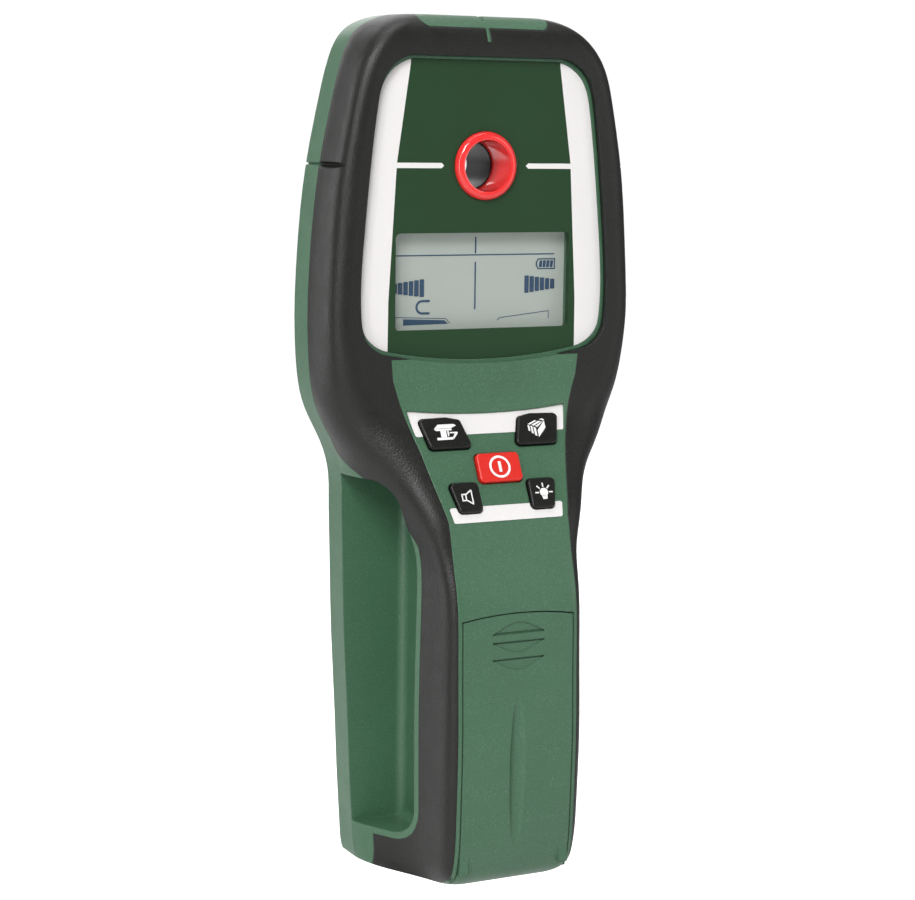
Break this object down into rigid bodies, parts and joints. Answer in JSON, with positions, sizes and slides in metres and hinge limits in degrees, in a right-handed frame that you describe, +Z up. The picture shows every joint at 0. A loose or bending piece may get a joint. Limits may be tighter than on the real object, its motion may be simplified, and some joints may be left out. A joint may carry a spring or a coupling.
{
  "type": "stud finder",
  "caption": "Handheld wall scanner with a display, a marking bore in a red light ring, a ramp keypad and a sliding battery door on the handle.",
  "frame": {"origin": "centre of the footprint at the end of the handle, at the foot's plane", "axes": "+Z up the handle to the scanning head, -Y out of the display side, +Y out of the sole, +X to the right seen from the display side"},
  "size_m": [0.0859, 0.046, 0.217],
  "materials": {
    "green_shell": "satin",
    "grip_black": "matte",
    "label_green": "gloss",
    "trim_white": "satin",
    "ring_red": "gloss",
    "button_black": "satin",
    "button_red": "satin",
    "window_clear": "gloss",
    "lcd_glass": "gloss",
    "backlight_white": "satin",
    "inner_black": "satin",
    "board_green": "satin",
    "chip_black": "satin",
    "copper_foil": "polished",
    "screw_steel": "polished",
    "battery_case": "satin",
    "battery_metal": "polished",
    "foam_grey": "matte",
    "glide_grey": "satin",
    "plate_silver": "satin",
    "led_red": "gloss"
  },
  "bodies": {
    "case": {"housing": "green_shell", "grip_overmould": "grip_black", "back_cover": "green_shell", "label_panel": "label_green", "side_trim_left": "trim_white", "side_trim_right": "trim_white", "light_ring": "ring_red", "bore_tube": "inner_black", "display_window": "window_clear", "lcd_module": "lcd_glass", "lcd_backlight": "backlight_white", "keypad_inlay_upper": "trim_white", "keypad_inlay_lower": "trim_white", "main_board": "board_green", "sensor_board": "board_green", "keypad_board": "board_green", "tact_switches": "chip_black", "microcontroller": "chip_black", "buzzer": "chip_black", "ring_leds": "led_red", "sensor_coil": "copper_foil", "sensor_plates": "copper_foil", "board_spacers": "inner_black", "board_screws": "screw_steel", "cover_screws": "screw_steel", "glide_pads": "glide_grey", "rating_plate": "plate_silver", "battery_9v": "battery_case", "battery_terminals": "battery_metal", "battery_clip": "inner_black", "battery_foam": "foam_grey"},
    "button_metal_body": {"button_metal": "button_black"},
    "button_drywall_body": {"button_drywall": "button_black"},
    "button_sound_body": {"button_sound": "button_black"},
    "button_light_body": {"button_light": "button_black"},
    "button_power_body": {"button_power": "button_red"},
    "door": {"battery_door": "green_shell"}
  },
  "joints": [
    {"name": "button_metal_press", "type": "slide", "parent": "case", "child": "button_metal_body", "axis": [0, 0.8838, -0.4679], "range_m": [0, 0.0008], "stiffness_N_per_m": 2500},
    {"name": "button_drywall_press", "type": "slide", "parent": "case", "child": "button_drywall_body", "axis": [0, 0.8838, -0.4679], "range_m": [0, 0.0008], "stiffness_N_per_m": 2500},
    {"name": "button_sound_press", "type": "slide", "parent": "case", "child": "button_sound_body", "axis": [0, 0.8838, -0.4679], "range_m": [0, 0.0008], "stiffness_N_per_m": 2500},
    {"name": "button_light_press", "type": "slide", "parent": "case", "child": "button_light_body", "axis": [0, 0.8838, -0.4679], "range_m": [0, 0.0008], "stiffness_N_per_m": 2500},
    {"name": "button_power_press", "type": "slide", "parent": "case", "child": "button_power_body", "axis": [0, 0.8838, -0.4679], "range_m": [0, 0.0008], "stiffness_N_per_m": 2500},
    {"name": "battery_door_slide", "type": "slide", "parent": "case", "child": "door", "axis": [0, 0, -1], "range_m": [0, 0.075]}
  ]
}
